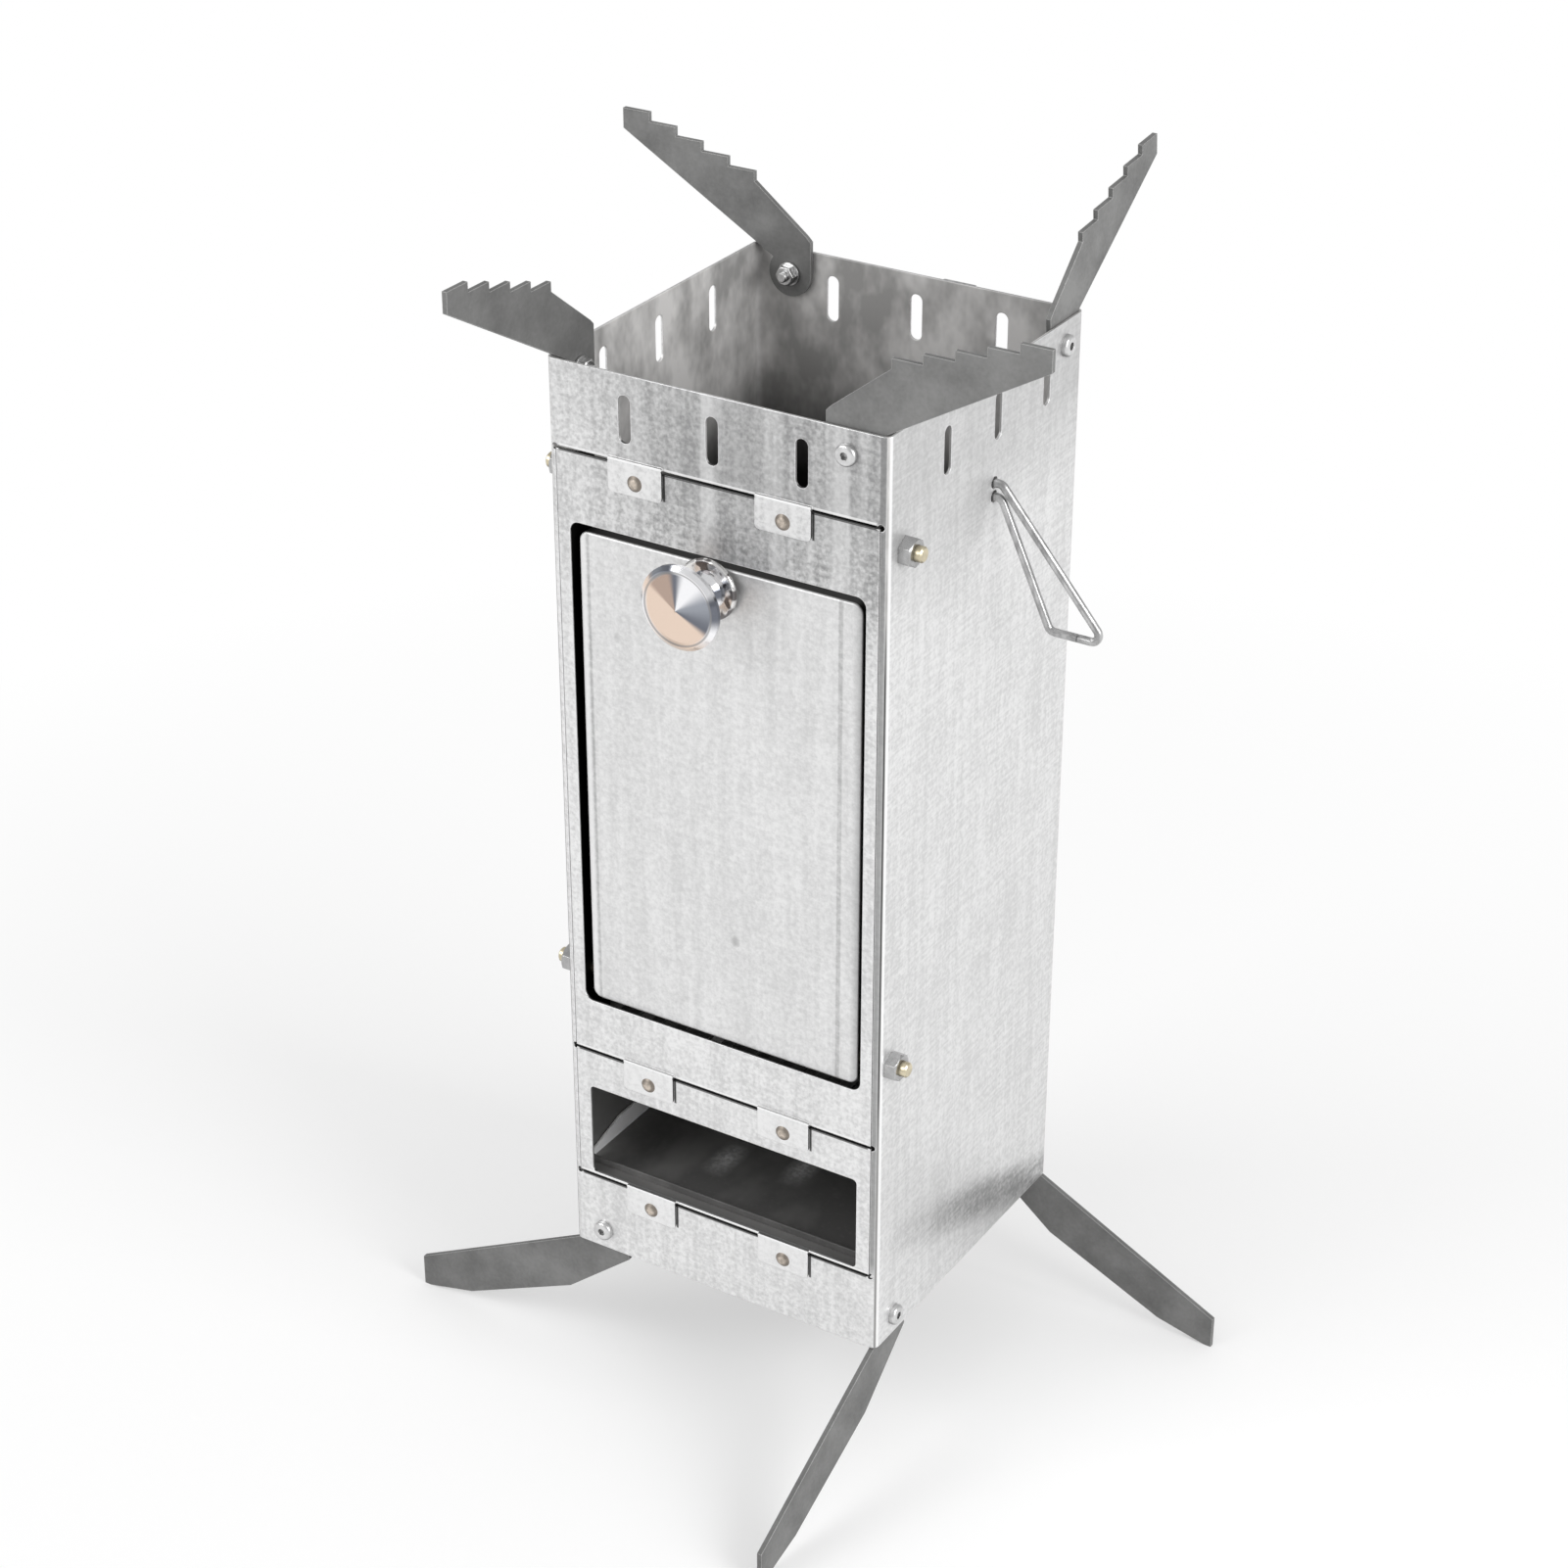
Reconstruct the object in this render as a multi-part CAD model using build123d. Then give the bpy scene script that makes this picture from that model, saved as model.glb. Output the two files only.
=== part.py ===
# Folding rocket stove in galvanised sheet steel, standing on its four unfolded legs.
# Millimetres, +Z up, +X right and -Y towards the front wall that carries the feed door.
# The origin is on the floor, under the middle of the square body.
from build123d import *
from math import asin, atan2, cos, degrees, hypot, radians, sqrt, tan
import os

os.makedirs("parts", exist_ok=True)

# Driving sizes of the body
body_width = 142.0
body_height = 385.2
wall = 1.0
bend_radius = 3.0

# Front wall: heights above the bottom edge of the body where one sheet ends and the next starts
bottom_band = 35.0
window_panel_top = 95.0
top_band = 33.2
slit = 1.2
relief_radius = 1.3
corner_return = 3.2
joint_gap = 0.3

# Upright air slots, three to a wall
slot_width = 5.2
slot_length = 18.4
slot_pitch = 36.8
slot_top_margin = 7.8
slot_shift = -0.6
right_slot_shift = 7.0
right_slot_drop = 2.0
right_pivot_shift = 3.0

# Joggled tabs that lap the next sheet down, with their rivets
tab_width = 23.0
tab_length = 12.2
tab_pitch = 62.0
tab_shift = -2.0
tab_corner = 2.0
rivet_drop = 7.2
rivet_radius = 1.6
rivet_head_radius = 3.1
rivet_head_height = 1.3
rivet_tail_radius = 2.3
rivet_tail_height = 0.9

# Air window and feed opening
window_margin = 9.4
window_bottom = 36.0
window_top = 77.2
window_corner = 2.0
opening_margin = 8.4
opening_bottom = 118.0
opening_top_margin = 62.0
opening_corner = 4.0
frame_flange_depth = 17.0
frame_flange_below = 16.0
frame_flange_above = 25.0
shelf_depth = 11.0

# Feed door
door_recess = 2.0
door_side_gap = 2.5
door_bottom_gap = 1.0
door_top_gap = 4.0
door_flange_depth = 12.0
door_top_flange = 9.0
door_corner = 4.0
door_edge_round = 0.9
hinge_rise = 11.0
hinge_setback = 8.0
hinge_end_radius = 9.0

# Knob
knob_margin = 8.2
knob_shift = -2.5
knob_radius = 16.3
knob_projection = 24.0
knob_thread = 11.0
rosette_radius = 12.0
rosette_boss_radius = 6.5
rosette_rim = 1.8

# Machine screws and nuts: M4, and M6 through the side walls
screw_radius = 2.0
screw_head_radius = 4.2
screw_head_height = 2.4
screw_recess_radius = 1.5
screw_recess_depth = 1.4
nut_flats = 7.0
nut_height = 3.2
nut_bevel = 0.07
washer_radius = 4.6
washer_thickness = 0.8
thread_gap = 0.05
running_gap = 0.08
hole_gap = 0.15
screw_tip = 2.0
frame_screw_drop = 45.7
frame_screw_setback = 11.5
bush_radius = 4.6
side_screw_radius = 3.0
side_screw_head_radius = 4.6
side_nut_flats = 10.0
side_nut_height = 5.0
side_screw_tip = 3.0

# Pot supports and legs: flat plates that turn just inside their wall
plate = 2.0
plate_gap = 0.3
support_inset = 16.7
support_drop = 9.4
support_lobe = 9.3
support_lift = 1.1
tread_count = 5
tread_width = 12.0
tread_rise = 3.8
first_tread_height = 28.4
first_tread_out = -0.7
support_heel_height = 6.5
heel_corner = 2.0
leg_inset = 14.1
leg_rise = 8.5
leg_lobe = 9.5
leg_reach = 82.0
foot_height = 14.0
foot_flat = 3.0
foot_length = 25.0
foot_slope = 12.0
leg_lift = 2.3
leg_width = 21.6
leg_belly_out = 19.0
leg_heel_out = -25.0
leg_heel_drop = 3.4

# Wire bails
wire_radius = 1.6
bail_hole_drop = 47.2
bail_setback = 76.0
bail_hole_radius = 2.4
bail_hole_pitch = 5.4
bail_hook_depth = 4.4
bail_inner_out = 24.7
bail_outer_out = 47.8
bail_drop = 50.3
bail_corner = 3.0
bail_joint = 0.4

# Fuel grate and floor tray
grate_thickness = 1.5
grate_side_gap = 3.0
grate_bar = 5.0
grate_slot_width = 6.0
grate_margin = 12.0
grate_front_gap = 2.0
tray_side_gap = 0.5
tray_side_height = 9.0
tray_lip_height = 3.0
tray_front_gap = 8.0
tray_ramp = 26.0
tail_width = 14.0
tail_pitch = 70.0
tail_reach = 1.6
tail_gap = 0.3

# Lap seam up the middle of the back wall
seam_width = 14.0
seam_rivet_count = 6


def rest_angle(inset, rise, lift):
    """Slope at which a plate's straight edge just clears the inner bend of the neighbouring wall."""
    bend = bend_radius - wall
    run = inset - bend_radius + sqrt(bend ** 2 - (bend - plate_gap) ** 2)
    return degrees(atan2(rise, run) - asin((lift - plate_gap) / hypot(run, rise)))


# Places worked out from the sizes above
support_rest_angle = rest_angle(support_inset, support_drop, support_lift)
leg_rest_angle = rest_angle(leg_inset, leg_rise, leg_lift)
leg_far = leg_inset + leg_reach
leg_tip_drop = leg_far * tan(radians(leg_rest_angle)) + leg_lift / cos(radians(leg_rest_angle))
half = body_width / 2
floor_z = leg_tip_drop + foot_height - leg_rise
top_z = floor_z + body_height
inner = half - wall
band_z = floor_z + bottom_band
panel_z = floor_z + window_panel_top
upper_slit_z = top_z - top_band
front_y = -half
slot_top_z = top_z - slot_top_margin
plate_y = front_y + wall + plate_gap
opening_half = half - opening_margin
opening_z = floor_z + opening_bottom
opening_top_z = top_z - opening_top_margin
window_half = half - window_margin
hinge_y = front_y + hinge_setback
hinge_z = opening_z + hinge_rise
door_half = opening_half - door_side_gap
door_y = front_y + door_recess
door_bottom_z = opening_z + door_bottom_gap
door_top_z = opening_top_z - door_top_gap
knob_z = door_top_z - knob_margin
frame_screw_y = front_y + frame_screw_setback
frame_screw_z = top_z - frame_screw_drop
bail_y = front_y + bail_setback
bail_z = top_z - bail_hole_drop
screw_bore = screw_radius + running_gap
rosette_thickness = door_recess + plate_gap + rosette_rim
seam_x = slot_pitch / 2
plate_stack = wall + plate_gap + plate + plate_gap
pivot_screw_length = plate_stack + washer_thickness + nut_height + screw_tip
WALLS = {"front": 0, "right": 90, "back": 180, "left": 270}


def on_right_wall(name, value):
    """The right wall's pattern is moved by the value; the other walls share one pattern."""
    return value if name == "right" else 0.0


def box(x, y, z):
    """A box from its low and high limits along each axis."""
    centre = [(low + high) / 2 for low, high in (x, y, z)]
    return Pos(*centre) * Box(x[1] - x[0], y[1] - y[0], z[1] - z[0])


def along_y(shape):
    """Turn a shape drawn along +Z so that it runs along +Y."""
    return Rot(-90, 0, 0) * shape


def along_x(shape):
    """Turn a shape drawn along +Z so that it runs along +X."""
    return Rot(0, 90, 0) * shape


def rod(radius, length):
    """A cylinder that stands on the origin."""
    return Pos(0, 0, length / 2) * Cylinder(radius, length)


def front_plate(outline, y, thickness):
    """A flat plate from a face drawn in the X-Z plane, with its front at y."""
    upright = Plane(origin=(0, y, 0), x_dir=(1, 0, 0), z_dir=(0, -1, 0))
    return extrude(upright * outline, amount=-thickness)


def rounded_panel(x, z, corner):
    """A face with round corners between the given limits."""
    centre = Pos((x[0] + x[1]) / 2, (z[0] + z[1]) / 2)
    return centre * RectangleRounded(x[1] - x[0], z[1] - z[0], corner)


def write(name, *solids):
    """Write one node, alone or as a group of separate solids."""
    shape = solids[0] if len(solids) == 1 else Compound(children=list(solids))
    export_step(shape, os.path.join("parts", name + ".step"))


# Body shell

def air_slots(shift, drop):
    """Cutters for the three upright slots at the top of the front wall, moved right and down."""
    cutters = []
    for place in (-1, 0, 1):
        x = place * slot_pitch + slot_shift + shift
        outline = Pos(x, slot_top_z - drop - slot_length / 2) * SlotOverall(slot_length, slot_width, rotation=90)
        cutters.append(front_plate(outline, front_y - wall, 3 * wall))
    return cutters


def hole(x, y, z, radius):
    """A cutter for a hole through the front wall."""
    return Pos(x, y, z) * along_y(Pos(0, 0, -2 * wall) * rod(radius, 5 * wall))


def tab_places():
    return [tab_shift - tab_pitch / 2, tab_shift + tab_pitch / 2]


def tab(x, z):
    """A tab that laps the sheet below: joggled out by its own thickness at z."""
    low = z - tab_length
    outline = rounded_panel((x - tab_width / 2, x + tab_width / 2), (low, z + wall), tab_corner)
    lap = front_plate(outline, front_y - wall, wall)
    lap -= box((x - tab_width, x + tab_width), (front_y - 2 * wall, front_y), (z, z + 2 * wall))
    step_out = box((x - tab_width / 2, x + tab_width / 2), (front_y - wall, front_y + wall), (z, z + wall))
    return lap + step_out


def make_shell():
    plan = RectangleRounded(body_width, body_width, bend_radius)
    plan -= RectangleRounded(body_width - 2 * wall, body_width - 2 * wall, bend_radius - wall)
    shell = Pos(0, 0, floor_z) * extrude(plan, amount=body_height)
    cut_half = half - corner_return
    shell -= box((-cut_half, cut_half), (front_y - wall, front_y + 2 * wall), (band_z, upper_slit_z))
    for z in (band_z, panel_z, upper_slit_z):
        shell -= box((-half + bend_radius, half - bend_radius), (front_y - wall, front_y + 2 * wall), (z - slit, z))
        for side in (-1, 1):
            shell -= hole(side * (half - bend_radius), front_y, z - slit / 2, relief_radius)
    for x in tab_places():
        shell += tab(x, upper_slit_z)
        shell -= hole(x, front_y, upper_slit_z - rivet_drop, rivet_radius + thread_gap)
        shell -= hole(x, front_y, band_z - rivet_drop, rivet_radius + thread_gap)
    shelf = box((-inner + bend_radius, inner - bend_radius), (front_y + wall / 2, front_y + shelf_depth),
                (band_z - slit - wall, band_z - slit))
    shell += shelf
    for name, turn in WALLS.items():
        shift = on_right_wall(name, right_pivot_shift)
        cutters = air_slots(on_right_wall(name, right_slot_shift), on_right_wall(name, right_slot_drop))
        cutters.append(hole(half - support_inset + shift, front_y, top_z - support_drop, screw_radius + hole_gap))
        cutters.append(hole(-half + leg_inset, front_y, floor_z + leg_rise, screw_radius + hole_gap))
        for cutter in cutters:
            shell -= Rot(0, 0, turn) * cutter
    for side in (-1, 1):
        start = Pos(side * half - (side > 0) * 2 * wall - (side < 0) * wall, 0, 0)
        for y, z in ((hinge_y, hinge_z), (frame_screw_y, frame_screw_z)):
            shell -= start * Pos(0, y, z) * along_x(rod(side_screw_radius + hole_gap, 3 * wall))
        for step in (-1, 1):
            shell -= start * Pos(0, bail_y, bail_z + step * bail_hole_pitch / 2) * along_x(
                rod(bail_hole_radius, 3 * wall))
    for rear_z, thick in ((band_z - slit, wall), (panel_z - slit, grate_thickness)):
        for place in (-1, 1):
            x = place * tail_pitch / 2
            shell -= box((x - tail_width / 2 - tail_gap, x + tail_width / 2 + tail_gap),
                         (half - 2 * wall, half + wall), (rear_z - tail_gap, rear_z + thick + tail_gap))
    lap = box((seam_x - seam_width / 2, seam_x + seam_width / 2), (half, half + wall), (floor_z, top_z))
    shell += fillet(lap.edges().filter_by(Axis.Z).group_by(Axis.Y)[-1], wall * 0.6)
    for z in seam_heights():
        shell -= Pos(seam_x, half - 2 * wall, z) * along_y(rod(rivet_radius + thread_gap, 4 * wall))
    return shell


def seam_heights():
    low = band_z + tab_length
    high = upper_slit_z - tab_length
    return [low + step * (high - low) / (seam_rivet_count - 1) for step in range(seam_rivet_count)]


# Front sheets set into the shell

def set_in_sheet(low, high):
    side = half - corner_return - joint_gap
    return box((-side, side), (front_y, front_y + wall), (low, high))


def make_door_frame():
    sheet = set_in_sheet(panel_z, upper_slit_z - slit)
    opening = rounded_panel((-opening_half, opening_half), (opening_z, opening_top_z), opening_corner)
    sheet -= front_plate(opening, front_y - wall, 3 * wall)
    low = opening_z - frame_flange_below
    high = opening_top_z + frame_flange_above
    for side in (-1, 1):
        x = sorted((side * opening_half, side * (opening_half + wall)))
        flange = box(x, (front_y + wall / 2, front_y + frame_flange_depth), (low, high))
        corners = flange.edges().filter_by(Axis.X).group_by(Axis.Y)[-1]
        sheet += fillet(corners, hinge_end_radius / 2)
        for y, z in ((hinge_y, hinge_z), (frame_screw_y, frame_screw_z)):
            bore = Pos(min(x) - wall, y, z) * along_x(rod(side_screw_radius + hole_gap, 3 * wall))
            sheet -= bore
    for x in tab_places():
        sheet += tab(x, panel_z)
        sheet -= hole(x, front_y, upper_slit_z - rivet_drop, rivet_radius + thread_gap)
        sheet -= hole(x, front_y, panel_z - rivet_drop, rivet_radius + thread_gap)
    return sheet


def make_air_panel():
    high = panel_z - slit
    sheet = set_in_sheet(band_z, high)
    sheet += box((-window_half, window_half), (front_y + wall / 2, front_y + shelf_depth), (high - wall, high))
    window = rounded_panel((-window_half, window_half), (floor_z + window_bottom, floor_z + window_top),
                           window_corner)
    sheet -= front_plate(window, front_y - wall, 3 * wall)
    for x in tab_places():
        sheet += tab(x, band_z)
        sheet -= hole(x, front_y, panel_z - rivet_drop, rivet_radius + thread_gap)
        sheet -= hole(x, front_y, band_z - rivet_drop, rivet_radius + thread_gap)
    return sheet


# Door

def make_door():
    outline = rounded_panel((-door_half, door_half), (door_bottom_z, door_top_z), door_corner)
    door = front_plate(outline, door_y, door_flange_depth)
    door = fillet(door.faces().sort_by(Axis.Y)[0].edges(), door_edge_round)
    hollow = rounded_panel((-door_half + wall, door_half - wall), (door_bottom_z - wall, door_top_z - wall),
                           door_corner - wall)
    door -= front_plate(hollow, door_y + wall, door_flange_depth)
    door -= box((-door_half, door_half), (door_y + wall, door_y + door_flange_depth + wall),
                (door_bottom_z - wall, door_bottom_z + wall))
    trim = box((-door_half + wall, door_half - wall), (door_y + door_top_flange, door_y + door_flange_depth + wall),
               (door_top_z - 2 * wall, door_top_z + wall))
    door -= trim
    for side in (-1, 1):
        start = Pos(side * door_half - 2 * wall, hinge_y, hinge_z)
        door -= start * along_x(rod(side_screw_radius + running_gap, 4 * wall))
    door -= Pos(knob_shift, door_y - wall, knob_z) * along_y(rod(screw_radius + hole_gap, 4 * wall))
    return door


def make_knob():
    """Turned mushroom knob: stem, waist and a wide shallow cone with a rim ring."""
    stem = knob_projection - rosette_thickness
    base = [(0, 0), (7.4, 0), (7.4, 1.2), (6.0, stem * 0.16)]
    neck = [(5.6, stem * 0.38), (9.0, stem * 0.58)]
    rim = [(knob_radius - 1.2, stem * 0.72), (knob_radius, stem * 0.79), (knob_radius, stem * 0.86),
           (knob_radius - 1.5, stem * 0.93), (knob_radius - 3.4, stem * 0.905)]
    crown = [(0, stem)]
    face = make_face(Polyline(*base, *neck, *rim, *crown, close=True))
    knob = revolve(Plane.XZ * face, Axis.Z)
    knob -= rod(screw_radius + thread_gap, stem * 0.6)
    place = Pos(knob_shift, door_y - rosette_thickness, knob_z)
    return place * Rot(90, 0, 0) * knob


def make_rosette():
    disc = rod(rosette_radius, rosette_rim)
    disc = fillet(disc.edges().group_by(Axis.Z)[-1], rosette_rim * 0.7)
    disc = Pos(0, 0, rosette_thickness - rosette_rim) * disc + rod(rosette_boss_radius, rosette_thickness)
    disc -= rod(screw_radius + hole_gap, rosette_thickness)
    return Pos(knob_shift, door_y, knob_z) * Rot(90, 0, 0) * disc


# Fasteners

def pan_screw(length, radius, head_radius):
    """A pan head screw along +Z with its head below the origin."""
    head = Pos(0, 0, -screw_head_height) * rod(head_radius, screw_head_height)
    head = fillet(head.edges().group_by(Axis.Z)[0], screw_head_height * 0.55)
    head -= Pos(0, 0, -screw_head_height) * rod(screw_recess_radius, screw_recess_depth)
    shank = rod(radius, length)
    return head + chamfer(shank.edges().group_by(Axis.Z)[-1], radius * 0.2)


def hex_nut(flats, height, radius):
    """A nut that stands on the origin, bevelled on its outer face."""
    bevel = flats * nut_bevel
    body = extrude(RegularPolygon(flats / 2, 6, major_radius=False), amount=height)
    cone = Pos(0, 0, height - bevel) * Cone(flats / 2 / cos(radians(30)), flats / 2 - bevel * 0.4, bevel,
                                            align=(Align.CENTER, Align.CENTER, Align.MIN))
    body = body & (rod(flats, height - bevel) + cone)
    return body - rod(radius + thread_gap, height)


def flat_washer():
    return rod(washer_radius, washer_thickness) - rod(screw_radius + hole_gap, washer_thickness)


def pivot_places(kind):
    """Where the pivot screws of the supports or legs stand on the four walls."""
    places = []
    for name, turn in WALLS.items():
        if kind == "support":
            x = half - support_inset + on_right_wall(name, right_pivot_shift)
            z = top_z - support_drop
        else:
            x = -half + leg_inset
            z = floor_z + leg_rise
        places.append(Rot(0, 0, turn) * Pos(x, front_y, z))
    return places


def write_pivots(kind):
    places = pivot_places(kind)
    screw = along_y(pan_screw(pivot_screw_length, screw_radius, screw_head_radius))
    washer = Pos(0, plate_stack, 0) * along_y(flat_washer())
    nut = Pos(0, plate_stack + washer_thickness, 0) * along_y(hex_nut(nut_flats, nut_height, screw_radius))
    write(kind + "_screws", *[place * screw for place in places])
    write(kind + "_washers", *[place * washer for place in places])
    write(kind + "_nuts", *[place * nut for place in places])


def rivet(grip, flush=False):
    """A domed rivet along +Z: head below the origin, tail past the grip unless it ends flush there."""
    dome = Sphere((rivet_head_radius ** 2 + rivet_head_height ** 2) / (2 * rivet_head_height))
    sink = (rivet_head_radius ** 2 + rivet_head_height ** 2) / (2 * rivet_head_height) - rivet_head_height
    dome = Pos(0, 0, sink) * dome & Pos(0, 0, -rivet_head_height) * rod(rivet_head_radius + 1, rivet_head_height)
    shape = dome + rod(rivet_radius, grip)
    if flush:
        return shape
    tail = Pos(0, 0, grip) * rod(rivet_tail_radius, rivet_tail_height)
    return shape + fillet(tail.edges().group_by(Axis.Z)[-1], rivet_tail_height / 2)


def make_front_rivets():
    """Two rivets to a row; the lowest row ends flush, because the front leg folds away behind it."""
    rivets = []
    for z in (upper_slit_z, panel_z, band_z):
        shape = along_y(rivet(2 * wall, z == band_z))
        rivets += [Pos(x, front_y - wall, z - rivet_drop) * shape for x in tab_places()]
    return rivets


def make_seam_rivets():
    shape = Rot(90, 0, 0) * rivet(2 * wall)
    return [Pos(seam_x, half + wall, z) * shape for z in seam_heights()]


def side_pair(shape):
    """The shape as drawn for the right wall, and turned round for the left wall."""
    return [shape, mirror(shape, Plane.YZ)]


def make_side_fasteners():
    stick_out = side_nut_height + side_screw_tip
    frame_screw = pan_screw(half - opening_half + stick_out, side_screw_radius, side_screw_head_radius)
    hinge_start = door_half - wall - plate_gap
    hinge_screw = pan_screw(half - hinge_start + stick_out, side_screw_radius, side_screw_head_radius)
    frame_place = Pos(opening_half, frame_screw_y, frame_screw_z)
    hinge_place = Pos(hinge_start, hinge_y, hinge_z)
    write("frame_screws", *side_pair(frame_place * along_x(frame_screw)))
    write("hinge_screws", *side_pair(hinge_place * along_x(hinge_screw)))
    bush_length = inner - opening_half - wall
    bush = along_x(rod(bush_radius, bush_length) - rod(side_screw_radius + thread_gap, bush_length))
    nut = along_x(hex_nut(side_nut_flats, side_nut_height, side_screw_radius))
    bushes = []
    nuts = []
    for y, z in ((hinge_y, hinge_z), (frame_screw_y, frame_screw_z)):
        bushes += side_pair(Pos(opening_half + wall, y, z) * bush)
        nuts += side_pair(Pos(half, y, z) * nut)
    write("side_bushes", *bushes)
    write("side_nuts", *nuts)


# Pot supports and legs

def edge_point(x, angle, lift):
    """The point at x on a line of that angle, which passes the pivot at a distance of lift."""
    return (x, x * tan(radians(angle)) + lift / cos(radians(angle)))


def support_outline():
    """Pot support about its pivot, with level treads, as it rests on an ordinary wall."""
    tip_out = support_inset + first_tread_out + tread_count * tread_width
    points = [edge_point(0, support_rest_angle, support_lift),
              edge_point(tip_out, support_rest_angle, support_lift)]
    for step in reversed(range(tread_count)):
        height = support_drop + first_tread_height + step * tread_rise
        start = support_inset + first_tread_out + step * tread_width
        points += [(start + tread_width, height), (start, height)]
    first = support_inset + first_tread_out
    points.append((first, support_drop + first_tread_height - tread_rise))
    heel = support_drop + support_heel_height
    points += [(-support_lobe + heel_corner, heel), (-support_lobe, heel - heel_corner), (-support_lobe, 0), (0, 0)]
    return make_face(Polyline(*points, close=True)) + Circle(support_lobe) - Circle(screw_bore)


def leg_outline():
    """Leg about its pivot, drawn upside down, with its foot at the far end."""
    foot_low = leg_tip_drop + foot_height
    foot_high = foot_low - foot_length * tan(radians(foot_slope))
    belly = edge_point(leg_belly_out, leg_rest_angle, leg_lift + leg_width)
    points = [edge_point(0, leg_rest_angle, leg_lift), (leg_far, leg_tip_drop), (leg_far, foot_low),
              (leg_far - foot_flat, foot_low), (leg_far - foot_length, foot_high), belly,
              (leg_inset + leg_heel_out, leg_rise + leg_heel_drop), (-leg_lobe, 0), (0, 0)]
    return make_face(Polyline(*points, close=True)) + Circle(leg_lobe) - Circle(screw_bore)


def make_support(name):
    inset = support_inset - on_right_wall(name, right_pivot_shift)
    angle = rest_angle(inset, support_drop, support_lift)
    outline = Rot(0, 0, angle - support_rest_angle) * support_outline()
    shape = front_plate(outline, plate_y, plate)
    return Rot(0, 0, WALLS[name]) * Pos(half - inset, 0, top_z - support_drop) * shape


def make_leg(name):
    shape = front_plate(Rot(0, 0, 180) * leg_outline(), plate_y, plate)
    return Rot(0, 0, WALLS[name]) * Pos(-half + leg_inset, 0, floor_z + leg_rise) * shape


# Wire bails

def make_bail():
    """Closed wire loop through two holes, drawn for the right wall, with a butt joint in its bar."""
    pitch = bail_hole_pitch / 2
    middle = (bail_inner_out + bail_outer_out) / 2
    elbow = 2 * wire_radius
    points = [(middle + bail_joint / 2, -bail_drop), (bail_outer_out, -bail_drop), (elbow, pitch),
              (-bail_hook_depth, pitch), (-bail_hook_depth, -pitch), (elbow, -pitch),
              (bail_inner_out, -bail_drop), (middle - bail_joint / 2, -bail_drop)]
    hook_round = pitch - 0.1
    radii = [bail_corner, elbow, hook_round, hook_round, elbow, bail_corner]
    path = FilletPolyline(*[(x, 0, z) for x, z in points], radius=radii)
    wire = sweep(Plane(path @ 0, z_dir=path % 0) * Circle(wire_radius), path=path)
    return Pos(half, bail_y, bail_z) * wire


# Fuel grate and floor tray

def tails(low, high):
    """Two tongues that reach through the slots in the back wall."""
    pieces = []
    for place in (-1, 1):
        x = place * tail_pitch / 2
        pieces.append(box((x - tail_width / 2, x + tail_width / 2), (inner - 2 * tray_side_gap, half + tail_reach),
                          (low, high)))
    return pieces


def make_grate():
    low = panel_z - slit
    high = low + grate_thickness
    side = inner - grate_side_gap
    front = front_y + wall + grate_front_gap
    back = inner - tray_side_gap
    grate = box((-side, side), (front, back), (low, high))
    for tail in tails(low, high):
        grate += tail
    pitch = grate_slot_width + grate_bar
    count = int((side - grate_margin) // pitch)
    rows = ((front + shelf_depth, -grate_bar), (grate_bar, back - grate_margin))
    for row in rows:
        for step in range(-count, count + 1):
            outline = Pos(step * pitch, (row[0] + row[1]) / 2) * SlotOverall(row[1] - row[0], grate_slot_width,
                                                                           rotation=90)
            grate -= Pos(0, 0, low - wall) * extrude(outline, amount=3 * grate_thickness)
    return grate


def make_tray():
    low = band_z - slit
    side = inner - tray_side_gap
    front = front_y + tray_front_gap
    back = inner - tray_side_gap
    tray = box((-side, side), (front, back), (low, low + tray_side_height))
    tray -= box((-side + wall, side - wall), (front + wall, back + wall), (low + wall, low + 2 * tray_side_height))
    slope = make_face(Polyline((front - wall, low + tray_lip_height), (front + wall, low + tray_lip_height),
                               (front + tray_ramp, low + tray_side_height + wall),
                               (front - wall, low + tray_side_height + wall), close=True))
    tray -= Pos(-body_width / 2, 0, 0) * extrude(Plane.YZ * slope, amount=body_width)
    corners = tray.edges().filter_by(Axis.Z).group_by(Axis.Y)[-1]
    corners = [edge for edge in corners if abs(edge.center().X) > side - wall / 2]
    tray = chamfer(corners, wall * 0.9)
    for tail in tails(low, low + wall):
        tray += tail
    return tray


# Write every node

write("body_shell", make_shell())
write("door_frame", make_door_frame())
write("air_inlet_panel", make_air_panel())
write("floor_tray", make_tray())
write("fuel_grate", make_grate())
write("feed_door", make_door())
write("door_knob", make_knob())
write("knob_rosette", make_rosette())
write("knob_screw", Pos(knob_shift, door_y + wall, knob_z) * Rot(90, 0, 0)
      * pan_screw(wall + rosette_thickness + knob_thread, screw_radius, screw_head_radius))
for name in WALLS:
    write("pot_support_" + name, make_support(name))
    write("leg_" + name, make_leg(name))
for kind in ("support", "leg"):
    write_pivots(kind)
make_side_fasteners()
write("front_rivets", *make_front_rivets())
write("seam_rivets", *make_seam_rivets())
for name, shape in zip(("right", "left"), side_pair(make_bail())):
    write("bail_" + name, shape)
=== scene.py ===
from math import pi

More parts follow.
